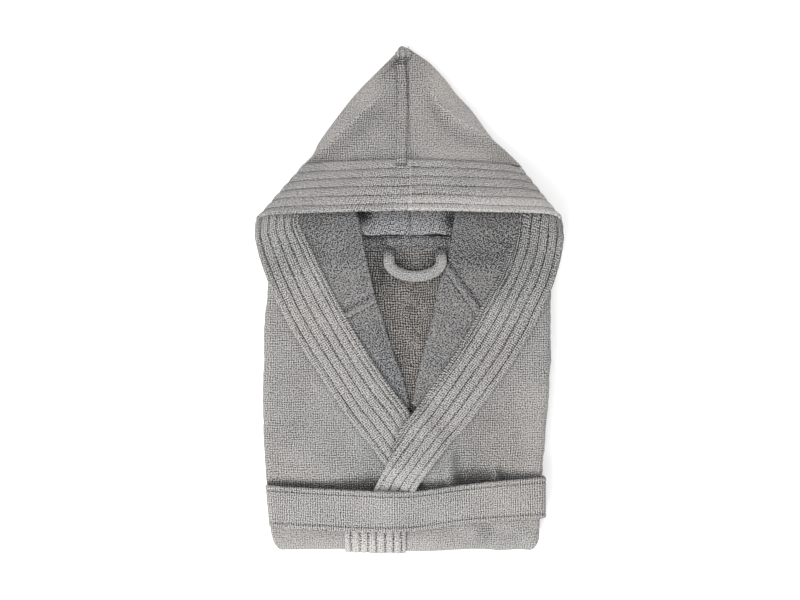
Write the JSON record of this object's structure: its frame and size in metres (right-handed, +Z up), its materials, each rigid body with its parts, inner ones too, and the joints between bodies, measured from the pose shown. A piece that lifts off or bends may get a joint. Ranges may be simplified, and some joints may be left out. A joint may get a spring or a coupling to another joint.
{
  "type": "folded hooded bathrobe",
  "caption": "Hooded terry bathrobe folded flat for a shelf, hood spread above, quilted shawl lapels, hanging loop, belt wrapped round the pack.",
  "frame": {"origin": "centre of the bounding box, on the surface that the folded robe lies on", "axes": "+X across the pack to the right as seen from above, +Y from the hem fold to the peak of the hood, +Z up out of the chest"},
  "size_m": [0.3842, 0.634, 0.0624],
  "materials": {
    "velour": "sheared terry velour with a fine woven grid, warm light grey",
    "quilted_band": "double velour with parallel stitched channels",
    "terry": "looped terry, mid grey",
    "webbing": "folded and topstitched self fabric"
  },
  "bodies": {
    "robe": {"front_panel_left": "velour", "front_panel_right": "velour", "back_panel": "terry", "sleeve_left": "velour", "sleeve_right": "velour", "sleeve_cuff_left": "quilted_band", "sleeve_cuff_right": "quilted_band", "belt_loop_left": "webbing", "belt_loop_right": "webbing", "pocket_left": "velour", "pocket_right": "velour", "pocket_band_left": "quilted_band", "pocket_band_right": "quilted_band", "lapel_facing_left": "terry", "lapel_facing_right": "terry", "collar_band_left": "quilted_band", "collar_band_right": "quilted_band", "neck_strip": "webbing"},
    "hood": {"hood_panel_left": "velour", "hood_panel_right": "velour", "hood_band_left": "quilted_band", "hood_band_right": "quilted_band", "hood_seam_strip": "webbing"},
    "loop": {"hanging_loop": "webbing"},
    "belt": {"belt": "velour"}
  },
  "joints": [
    {"name": "hood_lift", "type": "hinge", "parent": "robe", "child": "hood", "pos_m": [0, 0.078, 0.044], "axis": [1, 0, 0], "range_deg": [0, 100]},
    {"name": "loop_swing", "type": "hinge", "parent": "robe", "child": "loop", "pos_m": [0, 0.06, 0.0466], "axis": [-1, 0, 0], "range_deg": [0, 60]},
    {"name": "belt_slide", "type": "slide", "parent": "robe", "child": "belt", "axis": [0, -1, 0], "range_m": [0, 0.1]}
  ]
}
